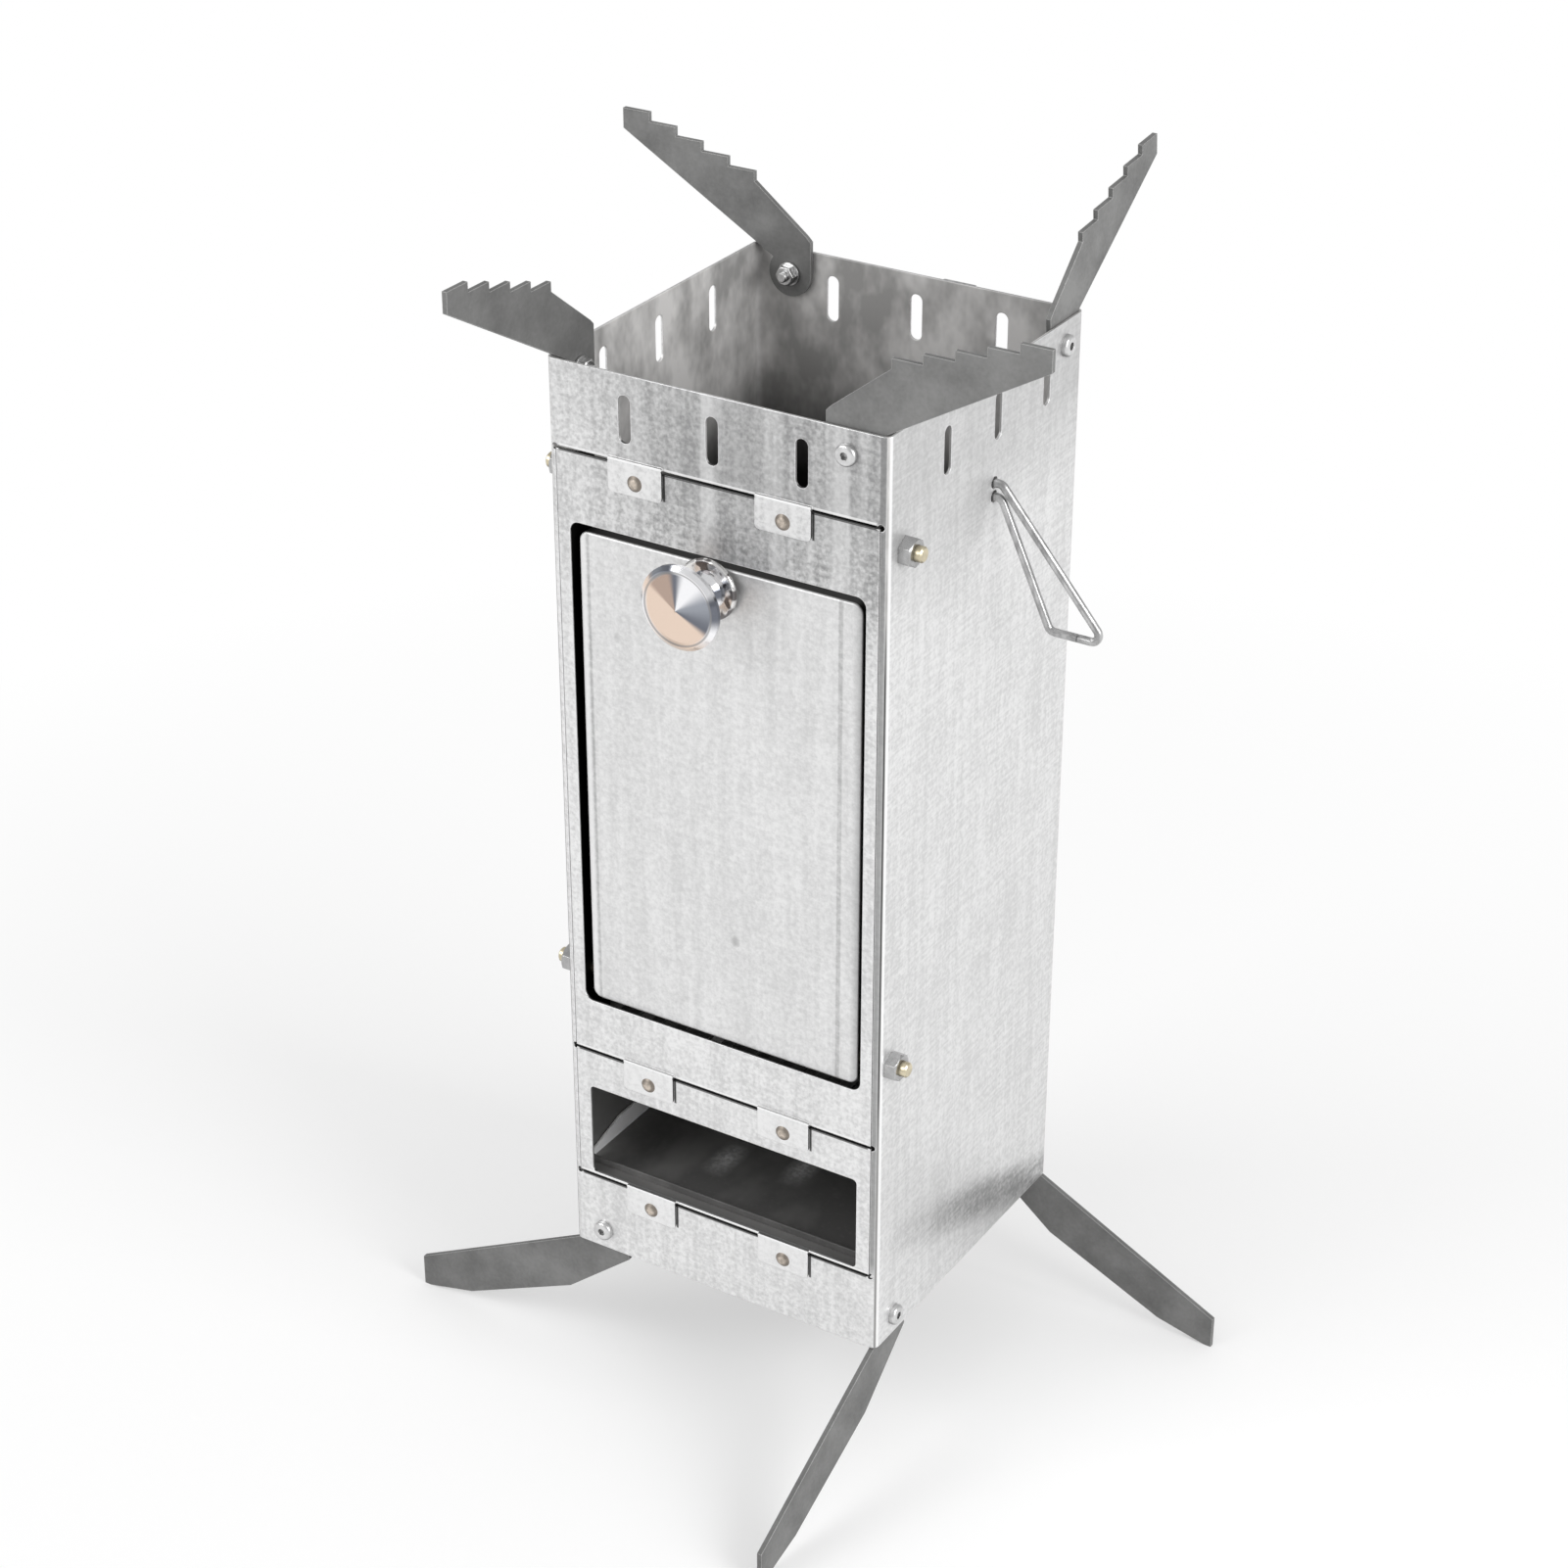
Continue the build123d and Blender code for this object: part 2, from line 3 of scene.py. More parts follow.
import bmesh
import bpy
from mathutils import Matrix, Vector


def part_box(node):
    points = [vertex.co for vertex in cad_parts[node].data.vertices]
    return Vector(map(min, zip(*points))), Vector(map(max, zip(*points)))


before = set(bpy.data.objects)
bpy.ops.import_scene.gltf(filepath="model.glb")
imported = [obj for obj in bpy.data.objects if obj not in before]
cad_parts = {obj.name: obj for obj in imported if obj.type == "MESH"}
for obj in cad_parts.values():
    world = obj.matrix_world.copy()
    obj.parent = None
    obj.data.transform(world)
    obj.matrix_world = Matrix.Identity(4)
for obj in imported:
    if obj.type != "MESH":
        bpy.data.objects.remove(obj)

bl_info = {
    "name": "Folding rocket stove",
    "version": (1, 0, 0),
    "blender": (4, 5, 0),
    "location": "3D View > Sidebar > Stove",
    "description": "Finishes and studio for a folding rocket stove built on its packed solids",
    "category": "Object",
}

WALLS = ("front", "right", "back", "left")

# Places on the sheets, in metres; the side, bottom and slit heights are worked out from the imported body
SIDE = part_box("body_shell")[1][0]
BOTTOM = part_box("body_shell")[0][2]
WALL_MIDDLE = SIDE - 0.0005
BEND_START = SIDE - 0.0024
SLITS = (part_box("door_frame")[1][2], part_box("air_inlet_panel")[1][2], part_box("floor_tray")[0][2])
SLIT_HALF = 0.0660
TAB_HEIGHT = 0.0104
TAB_PITCH = 0.062
TAB_RIGHT = -0.0215
# Places of two painted pools of light on the tray's floor
TRAY_LIGHT_POOLS = ((-0.021, -0.034), (0.009, -0.024))

# Faces of the body, each as the depth where its mask starts and the depth where it is full
RIGHT_FACE = (SIDE - 0.0010, SIDE - 0.0001)
FRONT_FACE = (-SIDE + 0.0014, -SIDE + 0.0009)
BEND_FACE = (-SIDE + 0.0026, -SIDE + 0.0021)
UPPER_EDGES = (-SIDE + 0.0020, -SIDE + 0.0015)
TAB_SIDES = (-SIDE - 0.0001, -SIDE - 0.0003)
TAB_FACE = (-SIDE - 0.0003, -SIDE - 0.0007)

# Heights and widths over which the coating and its painted light and shade change, in metres
BLOTCHED_BAND = (0.345, 0.385)
BLOTCHED_SIDE = (-0.060, -0.020)
CROWN_BAND = (0.375, 0.415)
CROWN_SIDE = (-0.052, -0.012)
BEND_SHADE_BAND = (0.088, 0.098)
STEP_BAND = (0.425, 0.420)
INNER_BAND = (0.32, 0.40)
DEEP_SHADE_START = (0.155, 0.175)
DEEP_SHADE_END = (0.392, 0.350)

# Painted reflection of the right leg on the right wall
MIRRORED_LEG_RUN = (-0.066, 0.0)
MIRRORED_LEG_LOW = BOTTOM + 0.001
MIRRORED_LEG_SLOPE = 0.34
MIRRORED_LEG_HALF = 0.004
MIRRORED_LEG_FADE = 0.012

# Shared tones, among them those of the painted shade and painted highlights, and the part of the zinc pattern
# that runs from its dark to its light tone
PAINTED_SHADE_TONE = (0.03, 0.03, 0.03)
PAINTED_HIGHLIGHT_TONE = (0.95, 0.95, 0.95)
DOOR_HIGHLIGHT_TONE = (0.92, 0.92, 0.92)
TAB_TONE = (0.84, 0.84, 0.84)
SPREAD = (0.42, 0.58)
SCRATCH_TURN = 0.75
TRAY_ROUND = 0.0004
PLATE_ROUND = 0.0004
HARDWARE_ROUND = 0.0003

# Painted reflections on the polished knob, as shares of a turn that starts at its left side
BEIGE = (0.80, 0.64, 0.53)
BROWN = (0.46, 0.35, 0.29)
SLATE = (0.16, 0.17, 0.20)
WHITE = (0.92, 0.92, 0.94)
STEEL = (0.33, 0.35, 0.39)
KNOB_REFLECTIONS = ((0.0, BEIGE), (0.385, BEIGE), (0.43, SLATE), (0.56, STEEL), (0.65, WHITE), (0.71, WHITE),
               (0.765, SLATE), (0.81, BROWN), (0.90, BROWN), (0.935, BEIGE), (1.0, BEIGE))
KNOB_RIM_REFLECTIONS = ((0.0, WHITE), (0.30, BEIGE), (0.43, WHITE), (0.50, SLATE), (0.56, SLATE), (0.60, WHITE),
            (0.75, WHITE), (0.79, SLATE), (0.86, STEEL), (0.92, BEIGE), (1.0, WHITE))

# Studio, in metres, radians and millimetres of lens
FLOOR_HALF = 8.0
FLOOR_FADE = (0.20, 0.75)
LIGHT_TARGET = (0.0, 0.0, 0.25)
KEY_PLACE = (-1.5, -1.9, 1.7)
KEY_SIZE = 1.6
FILL_PLACE = (2.2, -0.3, 1.3)
FILL_SIZE = 1.4
CAMERA_PLACE = (0.59824, -0.99026, 0.89406)
CAMERA_TURN = (pi / 2 - 0.50384, 0.0, 0.55442)
CAMERA_LENS = 78.18
CAMERA_SENSOR = 36.0


# Settings

def colour(name, description, default):
    return bpy.props.FloatVectorProperty(name=name, description=description, default=default, size=3,
                                         min=0.0, max=1.0, subtype="COLOR")


def factor(name, description, default, high=1.0):
    return bpy.props.FloatProperty(name=name, description=description, default=default, min=0.0, max=high,
                                   subtype="FACTOR" if high == 1.0 else "NONE")


def length(name, description, default, low=0.0):
    return bpy.props.FloatProperty(name=name, description=description, default=default, min=low,
                                   unit="LENGTH")


def power(name, description, default):
    return bpy.props.FloatProperty(name=name, description=description, default=default, min=0.0,
                                   unit="POWER")


class StoveSheet(bpy.types.PropertyGroup):
    light: colour("Light tone", "Lighter tone of the zinc coating", (0.70, 0.70, 0.70))
    dark: colour("Dark tone", "Darker tone of the zinc coating", (0.50, 0.50, 0.502))
    # The inside tone is darker than the outside as painted shade
    inside: colour("Inside", "Tone of the sheet inside the body", (0.34, 0.335, 0.33))
    roughness: factor("Roughness", "How matt the coating is", 0.42)
    streak_pitch: length("Streak pitch", "Width of the upright streaks", 0.004, 0.001)
    edge_round: length("Edge round", "Radius that the sheet edges catch light on", 0.0006)


class StovePlate(bpy.types.PropertyGroup):
    light: colour("Light tone", "Lighter tone of the plates", (0.225, 0.225, 0.222))
    dark: colour("Dark tone", "Darker tone of the plates", (0.145, 0.145, 0.143))
    roughness: factor("Roughness", "How matt the plates are", 0.55)


class StoveHardware(bpy.types.PropertyGroup):
    zinc: colour("Zinc plate", "Tone of the screws, washers and wire", (0.74, 0.74, 0.74))
    yellow: colour("Yellow zinc", "Tone of the screws through the side walls", (0.74, 0.66, 0.48))
    brass: colour("Rivets", "Tone of the rivets", (0.58, 0.51, 0.44))
    polish: colour("Polish", "Tone of the knob and its rosette", (0.80, 0.79, 0.78))


class StoveStudio(bpy.types.PropertyGroup):
    floor: colour("Floor", "Colour of the floor", (0.96, 0.96, 0.96))
    world: factor("Ambient", "Strength of the even light from all round", 0.60, 4.0)
    key: power("Key light", "Power of the large light at the front left", 28.0)
    fill: power("Fill light", "Power of the large light at the right", 38.0)


GROUPS = {"stove_sheet": StoveSheet, "stove_plate": StovePlate, "stove_hardware": StoveHardware,
          "stove_studio": StoveStudio}


# Shader helpers

def scaled(tone, gain):
    return tuple(c * gain for c in tone)


class Shader:
    """A material under construction, with short ways to add and join nodes."""

    def __init__(self, name):
        self.material = bpy.data.materials.new(name)
        self.material.use_nodes = True
        self.tree = self.material.node_tree
        self.bsdf = self.tree.nodes["Principled BSDF"]
        places = self.add("ShaderNodeTexCoord")
        self.coords = places.outputs["Object"]
        self.facing = places.outputs["Normal"]
        self.x, self.y, self.z = self.axes(self.coords)

    def add(self, kind, settings=None, **inputs):
        node = self.tree.nodes.new(kind)
        for key, value in (settings or {}).items():
            setattr(node, key, value)
        for key, value in inputs.items():
            self.feed(node.inputs[key.replace("_", " ")], value)
        return node

    def feed(self, socket, value):
        if isinstance(value, bpy.types.NodeSocket):
            self.tree.links.new(value, socket)
        else:
            socket.default_value = value

    def set(self, **inputs):
        for key, value in inputs.items():
            self.feed(self.bsdf.inputs[key.replace("_", " ")], value)

    def axes(self, vector):
        return self.add("ShaderNodeSeparateXYZ", Vector=vector).outputs

    def maths(self, operation, first, second=0.0):
        node = self.tree.nodes.new("ShaderNodeMath")
        node.operation = operation
        self.feed(node.inputs[0], first)
        self.feed(node.inputs[1], second)
        return node.outputs[0]

    def product(self, first, *others):
        for value in others:
            first = self.maths("MULTIPLY", first, value)
        return first

    def inverse(self, value):
        """1 less the value."""
        return self.maths("SUBTRACT", 1.0, value)

    def weighed(self, first, second, share):
        """The first value, with a share of the second in its place."""
        return self.maths("ADD", self.product(first, 1.0 - share), self.product(second, share))

    def span(self, value, low, high, to_low=0.0, to_high=1.0):
        node = self.add("ShaderNodeMapRange", {"clamp": True}, Value=value)
        for socket, number in zip(list(node.inputs)[1:5], (low, high, to_low, to_high)):
            self.feed(socket, number)
        return node.outputs[0]

    def near(self, value, centre, full, none):
        """1 where the value is within full of the centre, falling to 0 at none."""
        return self.span(self.maths("ABSOLUTE", self.maths("SUBTRACT", value, centre)), none, full)

    def noise(self, scale, stretch=(1.0, 1.0, 1.0), detail=3.0, rough=0.55, turn=0.0):
        mapped = self.add("ShaderNodeMapping", None, Vector=self.coords, Rotation=(turn, 0.0, 0.0),
                          Scale=stretch).outputs[0]
        return self.add("ShaderNodeTexNoise", None, Vector=mapped, Scale=scale, Detail=detail,
                        Roughness=rough).outputs["Fac"]

    def mix(self, amount, first, second):
        node = self.tree.nodes.new("ShaderNodeMix")
        node.data_type = "RGBA"
        self.feed(node.inputs[0], amount)
        for socket, value in zip((node.inputs[6], node.inputs[7]), (first, second)):
            self.feed(socket, value if isinstance(value, bpy.types.NodeSocket) else (*value, 1.0))
        return node.outputs[2]

    def wear(self, tone, mask, target, amount):
        """The tone, moved towards the target by the amount where the mask is 1."""
        return self.mix(self.product(mask, amount), tone, target)

    def ramp(self, value, stops):
        """A soft run of colours, each given with its place from 0 to 1."""
        node = self.add("ShaderNodeValToRGB", None, Fac=value)
        ramp = node.color_ramp
        ramp.interpolation = "EASE"
        for place, tone in stops[1:-1]:
            ramp.elements.new(place)
        for element, (place, tone) in zip(ramp.elements, stops):
            element.position = place
            element.color = (*tone, 1.0)
        return node.outputs["Color"]

    def bump(self, height, distance, strength, normal=None):
        node = self.add("ShaderNodeBump", None, Height=height, Distance=distance, Strength=strength)
        if normal is not None:
            self.feed(node.inputs["Normal"], normal)
        return node.outputs[0]

    def edges(self, radius):
        """A normal that rounds the edges, and how far it leans away from the true one."""
        round_normal = self.add("ShaderNodeBevel", {"samples": 6}, Radius=radius).outputs[0]
        true_normal = self.add("ShaderNodeNewGeometry").outputs["Normal"]
        lean = self.tree.nodes.new("ShaderNodeVectorMath")
        lean.operation = "DOT_PRODUCT"
        self.feed(lean.inputs[0], round_normal)
        self.feed(lean.inputs[1], true_normal)
        return round_normal, self.span(lean.outputs["Value"], 0.995, 0.90)


# Galvanised sheet

def zinc_shade(m, s):
    """The pattern of the zinc coating from 0 to 1, and the coarse blotches in it."""
    streaks_per_metre = 1.0 / s.streak_pitch
    upright = m.noise(1.0, (streaks_per_metre, streaks_per_metre, 14.0), 3.0, 0.6)
    level = m.noise(1.0, (25.0, 25.0, 2.25 * streaks_per_metre), 3.0, 0.6)
    speckle = m.noise(560.0, detail=3.0, rough=0.65)
    blotch = m.noise(38.0, (1.0, 1.0, 0.6), 4.0, 0.65)
    fine = m.weighed(m.weighed(upright, level, 0.35), speckle, 0.55)
    return m.weighed(fine, blotch, 0.15), blotch


class BodyShader(Shader):
    """The body's galvanised sheet, laid on in layers that share a few masks."""

    def __init__(self, name):
        super().__init__(name)
        self.s = bpy.context.scene.stove_sheet
        self.flank = self.span(self.x, *RIGHT_FACE)
        self.front = self.span(self.y, *FRONT_FACE)
        self.proud = self.span(self.y, *TAB_FACE)
        depth_x = self.maths("SUBTRACT", WALL_MIDDLE, self.maths("ABSOLUTE", self.x))
        depth_y = self.maths("SUBTRACT", WALL_MIDDLE, self.maths("ABSOLUTE", self.y))
        self.inside = self.span(self.maths("MINIMUM", depth_x, depth_y), -0.0001, 0.0003)
        # Band above the grate that takes the deepest painted shade
        self.deep_shade = self.product(self.span(self.z, *DEEP_SHADE_START), self.span(self.z, *DEEP_SHADE_END))
        self.blotched = self.product(self.span(self.z, *BLOTCHED_BAND),
                                     self.span(self.x, *BLOTCHED_SIDE, 0.35, 1.0))
        pattern, self.blotch = zinc_shade(self, self.s)
        scratch = self.noise(1.0, (40.0, 60.0, 1100.0), 2.0, 0.5, SCRATCH_TURN)
        scratch = self.span(scratch, 0.35, 0.65, -0.035, 0.035)
        self.shade = self.maths("ADD", pattern, self.product(self.flank, scratch))

    def coating(self):
        """Light and dark zinc, with more contrast high on the front, and a lighter range on the right wall as
        painted light.
        """
        light = self.s.light
        lit = self.mix(self.blotched, scaled(light, 1.20), scaled(light, 1.0))
        # The right wall's lighter range is painted light
        lit = self.mix(self.flank, lit, scaled(light, 1.12))
        dim = self.mix(self.blotched, scaled(light, 0.90), scaled(self.s.dark, 0.66))
        dim = self.mix(self.flank, dim, scaled(light, 0.90))
        return self.mix(self.span(self.shade, *SPREAD), dim, lit)

    def crown(self, tone):
        """Dark patches below the top edge, and a painted sheen of bright upright streaks on the front there.
        """
        patches = self.span(self.blotch, 0.40, 0.62, 0.55, 1.0)
        patches = self.product(patches, self.span(self.z, *CROWN_BAND), self.span(self.x, *CROWN_SIDE),
                               self.span(self.flank, 0.0, 1.0, 1.0, 0.75))
        tone = self.wear(tone, patches, scaled(self.s.dark, 0.62), 0.60)
        # Painted sheen: bright upright streaks high on the front
        streaks = self.span(self.noise(1.0, (95.0, 95.0, 3.0), 2.0, 0.5), 0.54, 0.64)
        streaks = self.product(streaks, self.blotched, self.inverse(self.flank))
        return self.wear(tone, streaks, scaled(self.s.light, 1.25), 0.40)

    def painted_leg_reflection(self, tone):
        """The right leg's dark reflection, painted along the foot of the right wall."""
        line = self.product(self.maths("SUBTRACT", SIDE, self.y), MIRRORED_LEG_SLOPE)
        line = self.maths("ADD", line, MIRRORED_LEG_LOW)
        # Painted reflection of the right leg
        mark = self.product(self.near(self.z, line, MIRRORED_LEG_HALF, MIRRORED_LEG_FADE),
                            self.span(self.y, *MIRRORED_LEG_RUN), self.flank)
        return self.wear(tone, mark, scaled(self.s.dark, 0.55), self.span(self.shade, *SPREAD, 0.85, 0.40))

    def bend(self, tone):
        """Painted shade beside the bend between the front and right walls, and a painted highlight on its
        crown.
        """
        # Painted shade beside the bend
        painted_bend_shade = self.product(self.near(self.x, BEND_START, 0.0008, 0.0014), self.front,
                              self.span(self.z, *BEND_SHADE_BAND))
        tone = self.wear(tone, painted_bend_shade, scaled(self.s.dark, 0.45), 0.75)
        # Painted highlight on the bend's crown
        crown = self.product(self.span(self.x, BEND_START + 0.0010, BEND_START + 0.0014),
                             self.span(self.y, *BEND_FACE))
        return self.wear(tone, crown, PAINTED_HIGHLIGHT_TONE, 0.8)

    def inner_walls(self, tone, hollow):
        """The inside in painted shade: a darker tone, lighter near the top and darkest in a band above the
        grate.
        """
        # The inner tone, lighter near the top and darkest above the grate, is painted shade
        inside = scaled(self.s.inside, hollow)
        low = self.mix(self.blotch, scaled(inside, 0.45), scaled(inside, 0.80))
        high = self.mix(self.span(self.blotch, 0.38, 0.62), scaled(inside, 1.1), scaled(inside, 2.3))
        walls = self.mix(self.span(self.z, *INNER_BAND), low, high)
        return self.mix(self.inside, tone, self.wear(walls, self.deep_shade, scaled(inside, 0.10), 0.9))

    def tabs(self, tone, edge):
        """Pale tabs, a painted highlight on the cut edges, and painted shade on the tabs' sides and the
        sheets' upper edges.
        """
        tone = self.wear(tone, self.proud, TAB_TONE, self.span(self.shade, 0.42, 0.56, 0.55, 0.85))
        # Painted highlight on the cut edges
        tone = self.wear(tone, self.product(edge, self.inverse(self.product(self.inside, 0.7))), PAINTED_HIGHLIGHT_TONE, 0.85)
        facing = self.axes(self.facing)
        # Painted shade on the tabs' sides and the sheets' upper edges
        sides = self.product(self.span(self.y, *TAB_SIDES), self.span(facing[0], 0.6, 0.8))
        tops = self.product(self.span(self.y, *UPPER_EDGES), self.span(facing[2], 0.6, 0.8))
        steps = self.product(self.maths("MAXIMUM", sides, tops), self.span(self.z, *STEP_BAND))
        return self.wear(tone, steps, PAINTED_SHADE_TONE, 0.9)

    def slits(self, tone):
        """Painted shade along each slit, a painted highlight over it and a painted shadow beside its tabs."""
        along = self.maths("FLOORED_MODULO", self.maths("SUBTRACT", self.x, TAB_RIGHT), TAB_PITCH)
        beside = self.product(self.near(along, 0.0005, 0.0003, 0.0006), self.front)
        between = self.product(self.near(self.x, 0.0, SLIT_HALF, SLIT_HALF + 0.0008), self.front)
        tab_half = TAB_HEIGHT / 2
        for slit in SLITS:
            # Painted shade along the slit
            line = self.product(self.near(self.z, slit, 0.0005, 0.0007), between, self.inverse(self.proud))
            tone = self.wear(tone, line, PAINTED_SHADE_TONE, 0.85)
            # Painted highlight over the slit
            gleam = self.product(self.near(self.z, slit + 0.0018, 0.0003, 0.0005), between)
            tone = self.wear(tone, gleam, PAINTED_HIGHLIGHT_TONE, 0.7)
            # Painted shadow beside the tabs
            shadow = self.product(self.near(self.z, slit - tab_half, tab_half, tab_half + 0.0003), beside)
            tone = self.wear(tone, shadow, PAINTED_SHADE_TONE, 0.9)
        return tone


def sheet_finish(name, hollow, gloss):
    """One sheet of the body: hollow scales its tone inside, which is painted shade, and gloss is how metallic
    the inside is.
    """
    m = BodyShader(name)
    normal, edge = m.edges(m.s.edge_round)
    tone = m.coating()
    tone = m.crown(tone)
    tone = m.painted_leg_reflection(tone)
    tone = m.bend(tone)
    tone = m.inner_walls(tone, hollow)
    tone = m.tabs(tone, edge)
    tone = m.slits(tone)
    metal = m.maths("MAXIMUM", m.span(m.inside, 0.0, 1.0, 0.75, gloss), m.product(m.inside, m.deep_shade))
    matt = m.span(m.shade, 0.3, 0.7, m.s.roughness + 0.08, m.s.roughness - 0.08)
    matt = m.maths("ADD", matt, m.product(m.inside, 0.15))
    m.set(Base_Color=tone, Metallic=metal, Roughness=matt, Normal=m.bump(m.shade, 0.00010, 0.6, normal))
    return m.material


def tray_finish():
    """The floor tray: a faintly blotched floor darkened as painted shade, with two painted pools of light and
    a painted highlight on its sides.
    """
    s = bpy.context.scene.stove_sheet
    m = Shader("tray_sheet")
    blotch = m.noise(42.0, (1.0, 0.6, 1.0), 3.0, 0.5)
    speckle = m.noise(500.0, detail=2.0)
    # The dark floor is painted shade
    tone = m.mix(m.span(blotch, 0.45, 0.68), scaled(s.inside, 0.50), scaled(s.inside, 0.85))
    tone = m.wear(tone, m.span(speckle, 0.55, 0.75), scaled(s.inside, 0.9), 0.25)
    # Two painted pools of light
    for across, along in TRAY_LIGHT_POOLS:
        light_pool = m.product(m.near(m.x, across, 0.001, 0.007), m.near(m.y, along, 0.002, 0.014))
        tone = m.wear(tone, light_pool, (0.85, 0.85, 0.85), m.span(speckle, 0.40, 0.60, 0.45, 0.85))
    # Painted highlight on the tray's sides
    tray_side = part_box("floor_tray")[1][0]
    sides = m.span(m.maths("ABSOLUTE", m.x), tray_side - 0.0014, tray_side - 0.0011)
    tone = m.wear(tone, sides, (1.0, 1.0, 1.0), 1.0)
    normal, _ = m.edges(TRAY_ROUND)
    m.set(Base_Color=tone, Metallic=m.span(sides, 0.0, 1.0, 0.5, 0.0),
          Roughness=m.span(blotch, 0.4, 0.7, 0.5, 0.36), Normal=m.bump(speckle, 0.00005, 0.4, normal))
    return m.material


def door_finish():
    """The door's sheet: the same zinc, smoother and lighter, with a few small stains, painted shade along two
    pressed lines, near its right edge and on its back, and a painted highlight along its left edge and on its
    edges.
    """
    s = bpy.context.scene.stove_sheet
    m = Shader("door_sheet")
    shade, _ = zinc_shade(m, s)
    tone = m.mix(m.span(shade, 0.40, 0.60), scaled(s.light, 0.92), scaled(s.light, 1.16))
    stain = m.noise(70.0, (1.0, 1.0, 0.7), 1.0, 0.4)
    tone = m.wear(tone, m.span(stain, 0.735, 0.78), scaled(s.dark, 0.6), 0.6)
    low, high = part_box("feed_door")
    # Painted shade along two pressed lines
    for place, reach in ((low[0] + 0.0038, 0.0008), (high[0] - 0.0088, 0.0012)):
        pressed = m.near(m.x, place, reach / 2, reach)
        tone = m.wear(tone, pressed, scaled(s.dark, 0.72), m.span(shade, *SPREAD, 0.65, 0.35))
    # Painted shade near the right edge, and a painted highlight along the left edge
    tone = m.wear(tone, m.span(m.x, high[0] - 0.0036, high[0] - 0.0004), scaled(s.dark, 0.55), 0.6)
    tone = m.wear(tone, m.span(m.x, low[0] + 0.0030, low[0] + 0.0022), DOOR_HIGHLIGHT_TONE, 0.6)
    # Painted shade on the door's back
    back = m.span(m.y, low[1] + 0.0004, low[1] + 0.0010)
    tone = m.mix(back, tone, scaled(s.inside, 0.10))
    normal, edge = m.edges(s.edge_round)
    # Painted highlight on the edges
    tone = m.wear(tone, m.product(edge, m.inverse(back)), DOOR_HIGHLIGHT_TONE, 0.7)
    m.set(Base_Color=tone, Metallic=0.75, Normal=m.bump(shade, 0.00006, 0.5, normal),
          Roughness=m.span(shade, 0.35, 0.65, s.roughness + 0.05, s.roughness))
    return m.material


# Knob, plates and hardware

def knob_finish():
    """Polished metal with painted reflections: the soft warm, grey and white fields of a mirror round the
    knob's axis.
    """
    s = bpy.context.scene.stove_hardware
    m = Shader("polished_chrome")
    low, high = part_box("door_knob")
    across = m.maths("SUBTRACT", m.x, (low[0] + high[0]) / 2)
    up = m.maths("SUBTRACT", m.z, (low[2] + high[2]) / 2)
    radius = m.maths("SQRT", m.maths("ADD", m.product(across, across), m.product(up, up)))
    share = m.maths("DIVIDE", radius, (high[0] - low[0]) / 2)
    turn = m.span(m.maths("ARCTAN2", up, across), -pi, pi)
    rim = m.ramp(turn, KNOB_RIM_REFLECTIONS)
    rings = m.noise(900.0, detail=2.0)
    tone = m.mix(m.span(share, 0.80, 0.86), m.ramp(turn, KNOB_REFLECTIONS), rim)
    # Painted dark ring near the rim
    tone = m.wear(tone, m.near(share, 0.86, 0.012, 0.035), scaled(s.polish, 0.35), 0.7)
    # The rim's painted reflections on the knob's side
    tone = m.mix(m.span(m.y, low[1] + 0.007, low[1] + 0.010), tone, rim)
    m.set(Base_Color=tone, Metallic=0.85, Roughness=m.span(rings, 0.4, 0.6, 0.16, 0.12))
    return m.material


def rosette_finish():
    """The knob's rosette: the same polish, with small hard painted reflections and a painted highlight on its
    edges.
    """
    s = bpy.context.scene.stove_hardware
    m = Shader("rosette_chrome")
    patches = m.noise(210.0, (1.0, 0.6, 1.0), 1.5, 0.5)
    # Painted reflections
    tone = m.mix(m.span(patches, 0.44, 0.50), (0.16, 0.15, 0.15), tuple(s.polish))
    normal, edge = m.edges(PLATE_ROUND)
    # Painted highlight on the edges
    tone = m.wear(tone, edge, (0.95, 0.95, 0.94), 0.8)
    m.set(Base_Color=tone, Metallic=0.9, Roughness=m.span(patches, 0.4, 0.6, 0.2, 0.12), Normal=normal)
    return m.material


def plate_finish(name, gain):
    """Matt grey plate with faint blotches and a painted highlight on its edges."""
    s = bpy.context.scene.stove_plate
    m = Shader(name)
    cloud = m.noise(45.0, detail=4.0, rough=0.6)
    grain = m.noise(700.0, detail=2.0)
    shade = m.weighed(cloud, grain, 0.2)
    tone = m.mix(m.span(shade, 0.35, 0.65), scaled(s.dark, gain), scaled(s.light, gain))
    normal, edge = m.edges(PLATE_ROUND)
    # Painted highlight on the edges
    tone = m.wear(tone, edge, (0.75, 0.75, 0.74), 0.5)
    m.set(Base_Color=tone, Metallic=0.5, Normal=m.bump(grain, 0.00003, 0.4, normal),
          Roughness=m.span(shade, 0.3, 0.7, s.roughness + 0.08, s.roughness - 0.05))
    return m.material


